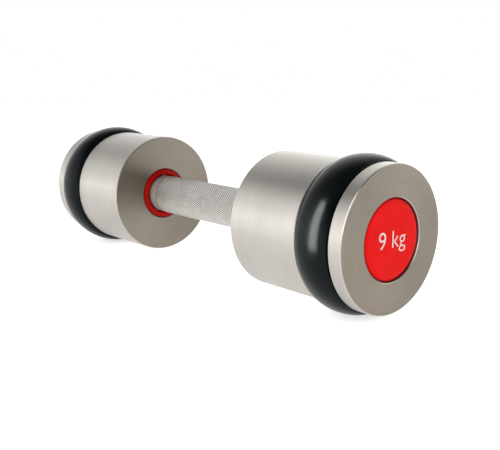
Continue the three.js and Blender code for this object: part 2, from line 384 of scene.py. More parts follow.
def eased(corners, steps=EASE_STEPS):
    """A closed profile from corners of (x, radius, edge size), each one rounded or chamfered."""
    points = []
    for i, (x, radius, ease) in enumerate(corners):
        corner = Vector((x, radius))
        if not ease:
            points.append(corner)
            continue
        before = (Vector(corners[i - 1][:2]) - corner).normalized()
        after = (Vector(corners[(i + 1) % len(corners)][:2]) - corner).normalized()
        half = before.angle(after) / 2
        centre = corner + (before + after).normalized() * ease / math.sin(half)
        reach = ease / math.tan(half)
        first = (corner + before * reach - centre).normalized()
        last = (corner + after * reach - centre).normalized()
        for step in range(steps + 1):
            points.append(centre + first.slerp(last, step / steps) * ease)
    return points


square = [(0, 1, 0.1), (1, 1, 0.1), (1, 2, 0.1), (0, 2, 0.1)]
print("a square profile with eased corners has", len(eased(square)), "points")

# %% Turned pieces
LARGE_SIDES = 192
MEDIUM_SIDES = 96
SMALL_SIDES = 48
SHARP_EDGE = math.radians(35)


def turn(profile, sides):
    """Turns a closed profile of (x, radius) points about the bar into a solid's mesh."""
    mesh = bmesh.new()
    rings = []
    for x, radius in profile:
        count = sides if radius > 0 else 1
        angles = [math.tau * (i + 0.5) / sides for i in range(count)]
        rings.append(
            [mesh.verts.new((x, radius * math.sin(a), -radius * math.cos(a))) for a in angles]
        )
    for ring, after in zip(rings, rings[1:] + rings[:1]):
        for i in range(sides):
            k = (i + 1) % sides
            corners = [ring[i % len(ring)], ring[k % len(ring)]]
            corners += [after[k % len(after)], after[i % len(after)]]
            distinct = list(dict.fromkeys(corners))
            if len(distinct) > 2:
                mesh.faces.new(distinct)
    bmesh.ops.recalc_face_normals(mesh, faces=mesh.faces)
    return mesh


example = turn(eased(square), SMALL_SIDES)
print("the same profile, turned, has", len(example.faces), "faces")
example.free()


# %% Pieces
def mirrored_end(mesh):
    """The same piece for the other head: half a turn about the upright axis."""
    mesh.transform(HALF_TURN)
    return mesh


def make_piece(name, mesh, materials, body, nodes, smooth=True):
    """Puts a mesh into the scene as a piece that rides on a body and stands for CAD nodes."""
    data = bpy.data.meshes.new(name)
    mesh.to_mesh(data)
    mesh.free()
    for material in materials:
        data.materials.append(material)
    if smooth:
        data.shade_smooth()
        data.set_sharp_from_angle(angle=SHARP_EDGE)
    piece = bpy.data.objects.new(name, data)
    bpy.context.scene.collection.objects.link(piece)
    if smooth:
        weighted = piece.modifiers.new("even shading", "WEIGHTED_NORMAL")
        weighted.keep_sharp = True
    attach(piece, body)
    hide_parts(*nodes)
    return piece


def both_ends(name, build, materials, body):
    """Makes the piece called name on the right, and its turned twin on the left."""
    for side in ("right", "left"):
        mesh = build()
        if side == "left":
            mirrored_end(mesh)
        node = f"{name}_{side}"
        make_piece(f"{node}_look", mesh, materials, body, [node])
    print("made", name, "for both heads")


# %% [markdown]
# ## Cutting
#
# A keyway, a dowel hole and a screw's hexagon socket aren't turned: they are cut afterwards,
# just as on the real pieces. Such a hole could be built face by face, but a Boolean modifier
# that takes a cutter away from the piece needs only the cutter's size and place. The result
# is kept as a plain mesh, so that no cutter is left in the scene.

# %% Cutting with a block or a pin
def prism(start, end, radius, sides, y=0.0):
    """A rod or prism along the bar, used as a cutter."""
    mesh = turn([(start, 0.0), (start, radius), (end, radius), (end, 0.0)], sides)
    mesh.transform(Matrix.Translation((0, y, 0)))
    return mesh


def block(low, high):
    """A box between two corners."""
    mesh = bmesh.new()
    bmesh.ops.create_cube(mesh, size=1)
    size = Vector(high) - Vector(low)
    mesh.transform(Matrix.Diagonal(size.to_4d()))
    mesh.transform(Matrix.Translation((Vector(high) + Vector(low)) / 2))
    return mesh


def cut_away(body_mesh, cutters):
    """The body's mesh with every cutter's mesh taken away from it."""
    shapes = []
    for mesh in [body_mesh] + cutters:
        data = bpy.data.meshes.new("cutting")
        mesh.to_mesh(data)
        mesh.free()
        shapes.append(bpy.data.objects.new("cutting", data))
        bpy.context.scene.collection.objects.link(shapes[-1])
    for cutter in shapes[1:]:
        step = shapes[0].modifiers.new("cut", "BOOLEAN")
        step.operation = "DIFFERENCE"
        step.solver = "EXACT"
        step.object = cutter
    depsgraph = bpy.context.evaluated_depsgraph_get()
    result = bmesh.new()
    result.from_object(shapes[0], depsgraph)
    for shape in shapes:
        bpy.data.meshes.remove(shape.data)
    return result


example = cut_away(prism(0, 1, 1, SMALL_SIDES), [prism(-1, 2, 0.5, SMALL_SIDES)])
print("a rod with a hole through it has", len(example.faces), "faces")
example.free()

# %% [markdown]
# ## The two heads
#
# Each head is two pieces of bar: a long inner weight and a shorter end cap with a hub. The
# hub is narrower than the rim, so the two together leave a groove that holds the rubber
# ring. The weight is bored for the shaft, and counterbored on the inside for the collar.
# The end cap has a shallow pocket for the badge and a deeper one for the screw.

# %% Weights
EDGE_EASE = 0.5 * MM
FINE_EASE = 0.3 * MM
KEY_WIDTH = 5 * MM
KEY_HEIGHT = 5 * MM
KEY_SINK = 3 * MM
DOWEL_RADIUS = 3 * MM
DOWEL_CIRCLE = 22 * MM
FACED_OFF = 0.8  # how squarely a face must look along the bar to count as faced

key_start, key_end = span_of("shaft_key_right")
dowel_start, dowel_end = span_of("dowel_front_right")
key_floor = journal_radius - KEY_SINK


def dowel_holes():
    return [
        prism(dowel_start - FIT_GAP, dowel_end + FIT_GAP, DOWEL_RADIUS + FIT_GAP, SMALL_SIDES, y=y)
        for y in (-DOWEL_CIRCLE, DOWEL_CIRCLE)
    ]


def face_off(mesh):
    """Gives the flat faces across the bar the second finish: the faced steel, whose darker colour
    is partly painted shade.
    """
    mesh.normal_update()
    for face in mesh.faces:
        face.material_index = 1 if abs(face.normal.dot(BAR_AXIS)) > FACED_OFF else 0
    return mesh


def weight_mesh():
    profile = eased(
        [
            (counterbore_floor, head_bore, 0),
            (counterbore_floor, counterbore_radius, 0),
            (weight_in, counterbore_radius, FINE_EASE),
            (weight_in, head_radius, EDGE_EASE),
            (weight_out, head_radius, EDGE_EASE),
            (weight_out, head_bore, FINE_EASE),
        ],
        CHAMFER,
    )
    half_width = KEY_WIDTH / 2 + FIT_GAP
    keyway = block(
        (counterbore_floor - KEY_SINK, -half_width, 0),
        (key_end + FIT_GAP, half_width, key_floor + KEY_HEIGHT + FIT_GAP),
    )
    body = turn(profile, LARGE_SIDES)
    return face_off(cut_away(body, [keyway] + dowel_holes()))


both_ends("weight", weight_mesh, [rim_steel, face_steel_painted_shade], "root")

# %% End caps
def end_cap_mesh():
    profile = eased(
        [
            (register_floor, screw_hole, 0),
            (register_floor, head_bore, 0),
            (cap_in, head_bore, FINE_EASE),
            (cap_in, hub_radius, FINE_EASE),
            (plate_in, hub_radius, 0),
            (plate_in, head_radius, EDGE_EASE),
            (cap_out, head_radius, EDGE_EASE),
            (cap_out, badge_wall, FINE_EASE),
            (badge_seat, badge_wall, 0),
            (badge_seat, SCREW_POCKET, FINE_EASE),
            (pocket_floor, SCREW_POCKET, 0),
            (pocket_floor, screw_hole, FINE_EASE),
        ],
        CHAMFER,
    )
    return face_off(cut_away(turn(profile, LARGE_SIDES), dowel_holes()))


both_ends("end_cap", end_cap_mesh, [rim_steel, face_steel_painted_shade], "root")

# %% [markdown]
# ## Rubber rings
#
# The rings are moulded nitrile rubber, with flat sides that sit in the groove and a round
# crown that stands proud, so that the steel never touches the floor. The crown is half an
# ellipse, which a formula gives more smoothly than points set by hand. The mould was smooth,
# so the black has a soft gloss: a soft-edged highlight with a faint haze over it.

# %% Moulded black rubber
RUBBER_GRAIN_PER_MM = 1.4  # mould texture is finer than 0.1 mm, drawn coarser to show


def moulded_rubber():
    material, tree, shader = start_material(
        "smooth_moulded_nitrile_rubber", "060809", 0.24, Specular_IOR_Level=0.18
    )
    shader.inputs["Specular Tint"].default_value = linear("E6F2F2")
    skin = grain(tree, RUBBER_GRAIN_PER_MM, 3.0)
    haze = grain(tree, 0.08)
    tree.links.new(spread(tree, haze, 0.2, 0.28), shader.inputs["Roughness"])
    tree.links.new(
        tinted(tree, spread(tree, skin, 0, 1), "020405", "06090A"), shader.inputs["Base Color"]
    )
    bump = add_node(
        tree, "ShaderNodeBump", {"Strength": 0.12, "Distance": 0.05 * MM}, {"Height": skin}
    )
    tree.links.new(bump.outputs["Normal"], shader.inputs["Normal"])
    return material


CROWN_STEPS = 40
SHOULDER_DROP = 1 * MM
LIP_WIDTH = 0.9 * MM  # the narrow flat between the crown and each side
LIP_EASE = 0.5 * MM


def bumper_ring_mesh():
    shoulder = head_radius - SHOULDER_DROP
    middle = (ring_in + ring_out) / 2
    half_crown = (ring_out - ring_in) / 2 - LIP_WIDTH
    bore = hub_radius + FIT_GAP
    crown = []
    for step in range(CROWN_STEPS + 1):
        angle = math.pi * step / CROWN_STEPS
        across = middle - half_crown * math.cos(angle)
        crown.append((across, shoulder + (ring_radius - shoulder) * math.sin(angle), 0))
    sides = [(ring_out, shoulder, LIP_EASE), (ring_out, bore, 0), (ring_in, bore, 0)]
    return turn(eased(crown + sides + [(ring_in, shoulder, LIP_EASE)]), LARGE_SIDES)


black_rubber = moulded_rubber()
both_ends("bumper_ring", bumper_ring_mesh, [black_rubber], "root")

# %% [markdown]
# ## Red plastic
#
# The badge and the collar are injection-moulded ABS. Colour runs through the whole piece,
# so a scratch doesn't change it. The mould was spark-eroded, which leaves a fine even
# texture: the surface reads as satin, and its highlight is so wide and dim that the specular
# level is turned far down. The collar is given a darker red than the badge, as painted shade
# for the shadow it sits in between the heads. The last millimetre or two of each piece, next
# to the gap round it, is darkened as painted shade of that gap, which draws the outline.

# %% Moulded ABS
ABS_GRAIN_PER_MM = 2.5  # spark-eroded texture is about 0.05 mm, drawn coarser to show


# Painted shade: each red piece is darkened towards its outer edge, as if in the shadow of the gap
# round it.
GAP_PAINTED_SHADE = "600303"
PAINTED_SHADE_EDGE = 0.2 * MM  # how far from the piece's edge it is darkest
BADGE_PAINTED_SHADE_WIDTH = 1.9 * MM
COLLAR_PAINTED_SHADE_WIDTH = 0.9 * MM


def moulded_abs(name, dark_hex, light_hex, roughness, edge_radius, painted_shade_width):
    material, tree, shader = start_material(name, light_hex, roughness, Specular_IOR_Level=0.06)
    texture = grain(tree, ABS_GRAIN_PER_MM, 3.0)
    flow = grain(tree, 0.06)
    # Painted shade of the gap: the colour darkens towards the piece's outer edge.
    gap_shade_mask = spread(
        tree, off_axis(tree), 0, 1, edge_radius - painted_shade_width, edge_radius - PAINTED_SHADE_EDGE
    )
    colour = add_node(
        tree,
        "ShaderNodeMix",
        {7: linear(GAP_PAINTED_SHADE)},
        {"Factor": gap_shade_mask, 6: tinted(tree, spread(tree, flow, 0, 1), dark_hex, light_hex)},
        data_type="RGBA",
    )
    tree.links.new(colour.outputs[2], shader.inputs["Base Color"])
    tree.links.new(
        spread(tree, texture, roughness - 0.04, roughness + 0.04), shader.inputs["Roughness"]
    )
    bump = add_node(
        tree, "ShaderNodeBump", {"Strength": 0.15, "Distance": 0.03 * MM}, {"Height": texture}
    )
    tree.links.new(bump.outputs["Normal"], shader.inputs["Normal"])
    return material


red_abs = moulded_abs(
    "spark_textured_red_abs", "E30C0C", "EC1110", 0.42, badge_radius, BADGE_PAINTED_SHADE_WIDTH
)
# Painted shade: the collar's darker red stands for the shadow it sits in between the two heads.
painted_shade_red_abs = moulded_abs(
    "spark_textured_painted_shade_red_abs", "980A04", "A80C06", 0.38, collar_radius, COLLAR_PAINTED_SHADE_WIDTH
)
print("plastics:", red_abs.name, "and", painted_shade_red_abs.name)

# %% Badges and collars
BADGE_EDGE_WIDTH = 4.2 * MM
BADGE_EDGE_DROP = 1.8 * MM
BADGE_EDGE_STEPS = 12
COLLAR_SETBACK = 0.3 * MM
COLLAR_PROUD = 2 * MM
COLLAR_INNER_EASE = 1.5 * MM
COLLAR_OUTER_EASE = 0.5 * MM


def badge_mesh():
    flat = badge_radius - BADGE_EDGE_WIDTH
    edge = []
    for step in range(BADGE_EDGE_STEPS + 1):
        angle = math.pi / 2 * step / BADGE_EDGE_STEPS
        down = BADGE_EDGE_DROP * (1 - math.sin(angle))
        edge.append(Vector((badge_face - down, flat + BADGE_EDGE_WIDTH * math.cos(angle))))
    back = [Vector((badge_back, 0)), Vector((badge_back, badge_radius))]
    return turn(back + edge + [Vector((badge_face, 0))], LARGE_SIDES)


def collar_mesh():
    """The collar's face is a shallow cone that rises out of the head towards the grip."""
    profile = eased(
        [
            (collar_out, collar_bore, 0),
            (weight_in - COLLAR_PROUD, collar_bore, COLLAR_INNER_EASE),
            (weight_in + COLLAR_SETBACK, collar_radius, COLLAR_OUTER_EASE),
            (collar_out, collar_radius, 0),
        ]
    )
    return turn(profile, LARGE_SIDES)


both_ends("badge", badge_mesh, [red_abs], "root")
both_ends("grip_collar", collar_mesh, [painted_shade_red_abs], "root")

# %% [markdown]
# ## The weight mark
#
# Each badge says how heavy the dumbbell is, in plain thin figures printed in off-white ink.
# The figures could be masked in the badge's material, but their edges would need a pattern of
# their own. Text in Blender is a curve, so it can be set and then turned into a mesh. The
# ink is given a thickness of a tenth of a millimetre, which is thick for ink but catches a
# little light.

# %% Printed figures
MARK_HEIGHT = 15 * MM
MARK_THINNING = 0.14 * MM  # taken off each side of every stroke
MARK_THICKNESS = 0.1 * MM
MARK_MERGE = 0.001 * MM  # corners closer than this are one corner


def printed_ink():
    material, tree, shader = start_material("pad_printed_white_ink", "F2E9E6", 0.5)
    cover = spread(tree, grain(tree, 1.2), 0, 1)
    tree.links.new(tinted(tree, cover, "E2CFCB", "F0E6E2"), shader.inputs["Base Color"])
    return material


def weight_mark(side, ink):
    text = bpy.data.curves.new("mark", "FONT")
    text.body = "9 kg"
    text.size = MARK_HEIGHT
    text.align_x = "CENTER"
    text.align_y = "CENTER"
    text.extrude = MARK_THICKNESS / 2
    text.offset = -MARK_THINNING
    carrier = bpy.data.objects.new("mark", text)
    bpy.context.scene.collection.objects.link(carrier)
    depsgraph = bpy.context.evaluated_depsgraph_get()
    filled = bpy.data.meshes.new_from_object(carrier.evaluated_get(depsgraph))
    mesh = bmesh.new()
    mesh.from_mesh(filled)
    bpy.data.meshes.remove(filled)
    bpy.data.curves.remove(text)
    # Text lies in the XY plane. This turns its X into the object's Y, and its Y into Z.
    upright = Matrix(((0, 0, 1, 0), (1, 0, 0, 0), (0, 1, 0, 0), (0, 0, 0, 1)))
    mesh.transform(Matrix.Translation((badge_face + MARK_THICKNESS / 2, 0, 0)) @ upright)
    bmesh.ops.remove_doubles(mesh, verts=mesh.verts, dist=MARK_MERGE)
    if side == "left":
        mirrored_end(mesh)
    name = f"weight_mark_{side}"
    return make_piece(name, mesh, [ink], "root", [], smooth=False)


white_ink = printed_ink()
for side in ("right", "left"):
    mark = weight_mark(side, white_ink)
    print(mark.name, "is", [round(d / MM, 1) for d in mark.dimensions], "mm")

# %% [markdown]
# ## The knurled grip
#
# Knurling is rolled, not cut: two hardened wheels with slanted teeth press crossing grooves
# into the sleeve, and the steel between the grooves stands up as small flat-topped
# pyramids. A bump pattern would be lighter, but the outline of the grip would stay smooth
# and the grooves would hold no shadow. So each pyramid is modelled, with one top and four
# sides, on a lattice that is wound round the sleeve. The grooves reach down to the plain
# band at each end of the sleeve.

# %% Knurl lattice
KNURL_ROUND = 60  # pyramids round the sleeve, 1.5 mm apart
KNURL_PITCH = 2.45 * MM  # along the bar, so the teeth slant at about 30 degrees
KNURL_TOP = 0.42  # share of a pyramid's width that is its flat top
KNURL_RUN_IN = 2.2 * MM  # over which the wheels' teeth bite deeper

knurl_end = weight_in - LAND_LENGTH
knurl_rows = 2 * round(2 * knurl_end / KNURL_PITCH)
row_length = 2 * knurl_end / knurl_rows
steps_round = 2 * KNURL_ROUND


def lattice_point(m, n, radius):
    """The point m half-pyramids round the sleeve and n half-pyramids along it."""
    angle = math.tau * m / steps_round
    return (-knurl_end + n * row_length, radius * math.cos(angle), radius * math.sin(angle))


def knurl(mesh):
    """Adds the pyramids, and returns the vertices where their grooves cross."""
    crossings = {}
    for n in range(knurl_rows + 1):
        for m in range(n % 2, steps_round, 2):
            crossings[m, n] = mesh.verts.new(lattice_point(m, n, land_radius))
    for n in range(knurl_rows + 1):
        for m in range((n + 1) % 2, steps_round, 2):
            around = [(m - 1, n), (m, n - 1), (m + 1, n), (m, n + 1)]
            feet = [crossings[i % steps_round, k] for i, k in around if 0 <= k <= knurl_rows]
            if len(feet) == 3:
                mesh.faces.new(feet).material_index = 1
                continue
            bite = min(1.0, min(n, knurl_rows - n) * row_length / KNURL_RUN_IN)
            top_radius = land_radius + (grip_radius - land_radius) * bite
            tops = []
            for i, k in around:
                corner = (m + KNURL_TOP * (i - m), n + KNURL_TOP * (k - n))
                tops.append(mesh.verts.new(lattice_point(*corner, top_radius)))
            mesh.faces.new(tops)
            for i in range(4):
                k = (i + 1) % 4
                mesh.faces.new([feet[i], feet[k], tops[k], tops[i]])
    return crossings


print("one pyramid is", round(2 * row_length / MM, 2), "mm long, in", knurl_rows // 2, "rows")

# %% Sleeve with plain bands
LAND_EASE = 0.5 * MM


def sleeve_mesh():
    """The knurl, closed by the plain bands, the two ends and the bore."""
    mesh = bmesh.new()
    crossings = knurl(mesh)
    plain = [
        (sleeve_end - LAND_EASE, land_radius),
        (sleeve_end, land_radius - LAND_EASE),
        (sleeve_end, sleeve_bore),
        (-sleeve_end, sleeve_bore),
        (-sleeve_end, land_radius - LAND_EASE),
        (-sleeve_end + LAND_EASE, land_radius),
    ]
    rings = [[crossings[m, knurl_rows] for m in range(0, steps_round, 2)]]
    for x, radius in plain:
        angles = [math.tau * i / KNURL_ROUND for i in range(KNURL_ROUND)]
        rings.append(
            [mesh.verts.new((x, radius * math.cos(a), radius * math.sin(a))) for a in angles]
        )
    rings.append([crossings[m, 0] for m in range(0, steps_round, 2)])
    for ring, after in zip(rings, rings[1:]):
        for i in range(KNURL_ROUND):
            k = (i + 1) % KNURL_ROUND
            face = mesh.faces.new([ring[i], ring[k], after[k], after[i]])
            face.smooth = True
            face.material_index = 1
    bmesh.ops.recalc_face_normals(mesh, faces=mesh.faces)
    return mesh


# %% Knurled steel
def knurled_steel():
    """Rolled steel, smoother on the tops. Its colour darkens from the tops down into the grooves,
    which is painted shade, with a little random wear.
    """
    material, tree, shader = start_material(
        "rolled_knurled_steel", "CFCBC4", 0.4, metallic=0.75
    )
    # Painted shade: the colour darkens from the pyramids' tops down to the groove bottoms.
    height = spread(tree, off_axis(tree), 0, 1, land_radius, grip_radius)
    wear = spread(tree, grain(tree, 0.12), 0.85, 1.0)
    wear_and_groove_shade = add_node(tree, "ShaderNodeMath", links={0: height, 1: wear}, operation="MULTIPLY")
    tree.links.new(
        tinted(tree, wear_and_groove_shade.outputs[0], "6C6861", "FCF9F4"), shader.inputs["Base Color"]
    )
    tree.links.new(
        spread(tree, wear_and_groove_shade.outputs[0], 0.5, 0.38, 0, 1), shader.inputs["Roughness"]
    )
    return material


def worked_metal(name, dark_hex, light_hex, roughness, pattern_of, metallic=1.0):
    """A metal whose colour and roughness both follow one pattern."""
    material, tree, shader = start_material(name, light_hex, roughness, metallic)
    pattern = pattern_of(tree)
    tree.links.new(
        tinted(tree, spread(tree, pattern, 0, 1), dark_hex, light_hex), shader.inputs["Base Color"]
    )
    tree.links.new(
        spread(tree, pattern, roughness + 0.05, roughness - 0.05), shader.inputs["Roughness"]
    )
    return material


def fine_turning(tree):
    """Marks of a turning tool fed at 0.2 mm, drawn coarser so that they show."""
    return tool_marks(tree, 1.5, 1.2)


# The band at each end of the sleeve was turned and then left dull by the wheels' coolant.
band_steel = worked_metal("dull_turned_steel", "ACA79F", "BCB7AF", 0.6, fine_turning, 0.4)
sleeve = make_piece(
    "grip_sleeve_look",
    sleeve_mesh(),
    [knurled_steel(), band_steel],
    "grip",
    ["grip_sleeve"],
    smooth=False,
)
print("the knurled sleeve has", len(sleeve.data.polygons), "faces")

# %% [markdown]
# ## What turns inside
#
# The grip runs on a long steel shaft. Two sintered bronze bushes are pressed into the sleeve:
# bronze powder baked until it just holds together, so it stays full of pores that carry oil.
# The shaft and the thrust washers they rub against are ground, which leaves a finish so fine
# that it looks like one soft streak round the bar.

# %% Metals of the inner pieces
def bronze_pores(tree):
    """Pores of a sintered bush are about 0.05 mm wide, drawn coarser so that they show."""
    return grain(tree, 2.0, 4.0)


def zinc_bloom(tree):
    """Plating comes out in soft clouds, a few millimetres across."""
    return grain(tree, 0.3)


def oxide_bloom(tree):
    """Black oxide is uneven where the oil has dried."""
    return grain(tree, 0.5, 3.0)


ground_steel = worked_metal("ground_steel", "B9BABA", "CBCCCB", 0.24, fine_turning)
porous_bronze = worked_metal("sintered_bronze", "7E5A30", "B68A50", 0.42, bronze_pores)
bright_zinc = worked_metal("bright_zinc_plated_steel", "A9AFB6", "C6CBD1", 0.32, zinc_bloom)
black_oxide = worked_metal("black_oxide_steel", "1B1C1E", "2E3032", 0.42, oxide_bloom)
print("inner metals:", ground_steel.name, porous_bronze.name, bright_zinc.name, black_oxide.name)

# %% Shaft, bushes and thrust washers
THREAD_CLEARANCE = 5 * MM  # drilled past the end of the screw
shoulder_at = thrust_out
screw_tip, screw_top = span_of("end_screw_right")


def key_slot():
    """The slot in the shaft that a key sits in, for the end on +X."""
    half_gap = FIT_GAP / 2
    half_width = KEY_WIDTH / 2 + half_gap
    return block(
        (key_start - half_gap, -half_width, key_floor - half_gap),
        (key_end + half_gap, half_width, key_floor + KEY_HEIGHT + half_gap),
    )


def tapped_hole():
    return prism(screw_tip - THREAD_CLEARANCE, shaft_end + END_PLATE, screw_hole, SMALL_SIDES)


def shaft_mesh():
    half = [
        (shoulder_at, shaft_radius, FINE_EASE),
        (shoulder_at, journal_radius, 0),
        (shaft_end, journal_radius, EDGE_EASE),
        (shaft_end, 0, 0),
    ]
    other_half = [(-x, radius, ease) for x, radius, ease in reversed(half)]
    body = turn(eased(other_half + half, CHAMFER), MEDIUM_SIDES)
    cutters = [tapped_hole(), key_slot()]
    cutters += [mirrored_end(tapped_hole()), mirrored_end(key_slot())]
    return cut_away(body, cutters)


def bush_mesh():
    flange_in = bush_out - BUSH_FLANGE
    return turn(
        eased(
            [
                (bush_in, bush_bore, FINE_EASE),
                (bush_in, bush_radius, FINE_EASE),
                (flange_in, bush_radius, 0),
                (flange_in, land_radius, FINE_EASE),
                (bush_out, land_radius, FINE_EASE),
                (bush_out, bush_bore, FINE_EASE),
            ]
        ),
        MEDIUM_SIDES,
    )


def washer(start, end, bore, radius, ease=FINE_EASE):
    """A flat ring with its four edges eased."""
    corners = [(start, bore), (start, radius), (end, radius), (end, bore)]
    return turn(eased([(x, r, ease) for x, r in corners]), MEDIUM_SIDES)


def thrust_washer_mesh():
    return washer(thrust_in, thrust_out, shaft_radius + FIT_GAP, thrust_radius)


make_piece("core_shaft_look", shaft_mesh(), [ground_steel], "root", ["core_shaft"])
both_ends("grip_bush", bush_mesh, [porous_bronze], "grip")
both_ends("thrust_washer", thrust_washer_mesh, [ground_steel], "root")

# %% [markdown]
# ## What holds a head together
#
# A key in a slot stops each weight turning on the shaft, and two dowels stop the end cap
# turning on the weight. One long screw, run into the end of the shaft, pulls everything tight
# through a flat washer and a split spring washer. A ring of foam tape holds the badge over it.

# %% Keys and dowels
KEY_EASE = 0.3 * MM
EASE_CUTS = 2
DOWEL_EASE = 0.6 * MM


def key_mesh():
    mesh = block(*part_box("shaft_key_right"))
    bmesh.ops.bevel(
        mesh, geom=mesh.edges[:], offset=KEY_EASE, segments=EASE_CUTS, affect="EDGES"
    )
    return mesh


def dowel_mesh(y):
    corners = [
        (dowel_start, 0, 0),
        (dowel_start, DOWEL_RADIUS, DOWEL_EASE),
        (dowel_end, DOWEL_RADIUS, DOWEL_EASE),
        (dowel_end, 0, 0),
    ]
    mesh = turn(eased(corners), SMALL_SIDES)
    mesh.transform(Matrix.Translation((0, y, 0)))
    return mesh


both_ends("shaft_key", key_mesh, [ground_steel], "root")
both_ends("dowel_front", lambda: dowel_mesh(-DOWEL_CIRCLE), [ground_steel], "root")
both_ends("dowel_back", lambda: dowel_mesh(DOWEL_CIRCLE), [ground_steel], "root")

# %% [markdown]
# A thread is a groove that moves along by one pitch for each turn. The screw is first turned
# plain, with rings of vertices close together. Then each vertex of the thread is moved in
# towards the axis by an amount that depends on how far along the bar and how far round it
# is, and the ridges join up into one helix by themselves.

# %% End screws
SCREW_HEAD_HEIGHT = 10 * MM
SOCKET_FLATS = 8 * MM
SOCKET_DEPTH = 5 * MM
SOCKET_SIDES = 6
THREAD_PITCH = 1.5 * MM
THREAD_DEPTH = 0.9 * MM
RINGS_PER_PITCH = 8
THREAD_LENGTH = 26 * MM
screw_head_radius = radius_of("end_screw_right", SMALL_FLATS)


def cut_thread(mesh, start, end):
    """Presses a helical groove into the vertices between start and end."""
    for vertex in mesh.verts:
        x, y, z = vertex.co
        radius = math.hypot(y, z)
        if not start <= x <= end or radius < SCREW_RADIUS - THREAD_DEPTH:
            continue
        turns = (x / THREAD_PITCH - math.atan2(z, y) / math.tau) % 1
        depth = THREAD_DEPTH * (1 - abs(2 * turns - 1)) * min(1, (end - x) / THREAD_PITCH)
        vertex.co = (x, y * (radius - depth) / radius, z * (radius - depth) / radius)


def end_screw_mesh():
    head_in = screw_top - SCREW_HEAD_HEIGHT
    ring_count = round(THREAD_LENGTH / THREAD_PITCH * RINGS_PER_PITCH)
    thread = [screw_tip + THREAD_LENGTH * i / ring_count for i in range(ring_count + 1)]
    corners = [(screw_tip, 0, 0)]
    corners += [(x, SCREW_RADIUS, 0) for x in thread]
    corners += [
        (head_in, SCREW_RADIUS, 0),
        (head_in, screw_head_radius, FINE_EASE),
        (screw_top, screw_head_radius, EDGE_EASE),
        (screw_top, 0, 0),
    ]
    body = turn(eased(corners), SMALL_SIDES)
    cut_thread(body, screw_tip, thread[-1])
    across_corners = SOCKET_FLATS / math.cos(math.pi / SOCKET_SIDES)
    socket = prism(
        screw_top - SOCKET_DEPTH, screw_top + SOCKET_DEPTH, across_corners / 2, SOCKET_SIDES
    )
    return cut_away(body, [socket])


both_ends("end_screw", end_screw_mesh, [black_oxide], "root")

# %% Washers under the screw
SPRING_SLIT = 2 * MM


def flat_washer_mesh():
    radius = radius_of("flat_washer_right", SMALL_FLATS)
    return washer(*span_of("flat_washer_right"), screw_hole, radius)


def lock_washer_mesh():
    """A spring washer is a ring with one slit."""
    start, end = span_of("lock_washer_right")
    radius = radius_of("lock_washer_right", SMALL_FLATS)
    slit = block((start - MM, -SPRING_SLIT / 2, 0), (end + MM, SPRING_SLIT / 2, radius + MM))
    return cut_away(washer(start, end, screw_hole, radius), [slit])


both_ends("flat_washer", flat_washer_mesh, [bright_zinc], "root")
both_ends("lock_washer", lock_washer_mesh, [bright_zinc], "root")

# %% Foam tape
TAPE_INSET = 2 * MM
TAPE_EASE = 0.15 * MM
FOAM_CELLS_PER_MM = 3.0


def foam_tape():
    """Closed-cell foam, matt and full of tiny bubbles."""
    material, tree, shader = start_material("closed_cell_foam_tape", "55585A", 0.9)
    cells = grain(tree, FOAM_CELLS_PER_MM, 3.0)
    tree.links.new(
        tinted(tree, spread(tree, cells, 0, 1), "454849", "5F6264"), shader.inputs["Base Color"]
    )
    bump = add_node(
        tree, "ShaderNodeBump", {"Strength": 0.6, "Distance": 0.1 * MM}, {"Height": cells}
    )
    tree.links.new(bump.outputs["Normal"], shader.inputs["Normal"])
    return material


def tape_mesh():
    return washer(
        tape_in, tape_out, SCREW_POCKET + TAPE_INSET, badge_wall - TAPE_INSET, TAPE_EASE
    )


both_ends("badge_tape", tape_mesh, [foam_tape()], "root")

# %% [markdown]
# ## Floor, light and camera
#
# The setting is a pale light table in a white room. Steel has no colour of its own to show:
# it shows the room. So the room is designed first. It is bright all round at the horizon
# and dark overhead, which gives each round head a dark band along its upper front, and it
# gets brighter again towards the back, which turns the tops of the heads almost white.
#
# Such a room would make an untidy backdrop. The Light Path node knows whether a ray comes
# straight from the camera, so the room is plain white to look at and keeps its bright and
# dark parts for what the steel mirrors.

# %% Floor
FLOOR_RADIUS = 3.0
floor_height = cad_low.z

TABLE_GLOW = 0.62
TABLE_GLOW_IN_STEEL = 0.43  # a little dimmer where the steel mirrors it

pale, tree, shader = start_material(
    "pale_light_table", "F4F4F4", 0.6, Emission_Color=linear("FFFFFF")
)
seen = add_node(tree, "ShaderNodeLightPath")
glow = add_node(
    tree,
    "ShaderNodeMapRange",
    {"To Min": TABLE_GLOW_IN_STEEL, "To Max": TABLE_GLOW},
    {"Value": seen.outputs["Is Camera Ray"]},
)
tree.links.new(glow.outputs["Result"], shader.inputs["Emission Strength"])
floor_mesh = bmesh.new()
bmesh.ops.create_circle(floor_mesh, cap_ends=True, segments=MEDIUM_SIDES, radius=FLOOR_RADIUS)
floor_data = bpy.data.meshes.new("floor")
floor_mesh.to_mesh(floor_data)
floor_mesh.free()
floor_data.materials.append(pale)
floor = bpy.data.objects.new("floor", floor_data)
floor.location.z = floor_height
bpy.context.scene.collection.objects.link(floor)
print("the floor is at", round(floor_height / MM, 1), "mm")

# %% How dark the room is in each direction
# The darkness of a direction grows with its height. It is greatest over a line that runs
# along the bar, a little to the front, and it grows again towards the end with +X.
ROOM_TILT = (0, -0.15, 1)
DARK_LINE_Y = -0.2
FALL_FROM_LINE = -0.5
PLUS_X_SIDE = -0.4
PLUS_X_GAIN = 0.45

# Pairs of darkness, and how bright the room is there.
ROOM = [(-0.6, 2.1), (-0.35, 1.85), (-0.2, 1.65), (-0.05, 1.5), (0.1, 1.16), (0.2, 1.06)]
ROOM += [(0.28, 0.99), (0.38, 0.91), (0.46, 0.8), (0.52, 0.73), (0.58, 0.63), (0.64, 0.47)]
ROOM += [(0.7, 0.3), (0.85, 0.16)]
ROOM_LOW, ROOM_HIGH = -0.65, 0.9
ROOM_STRENGTH = 2.2  # a ramp can only hold up to 1, so its values are scaled by this

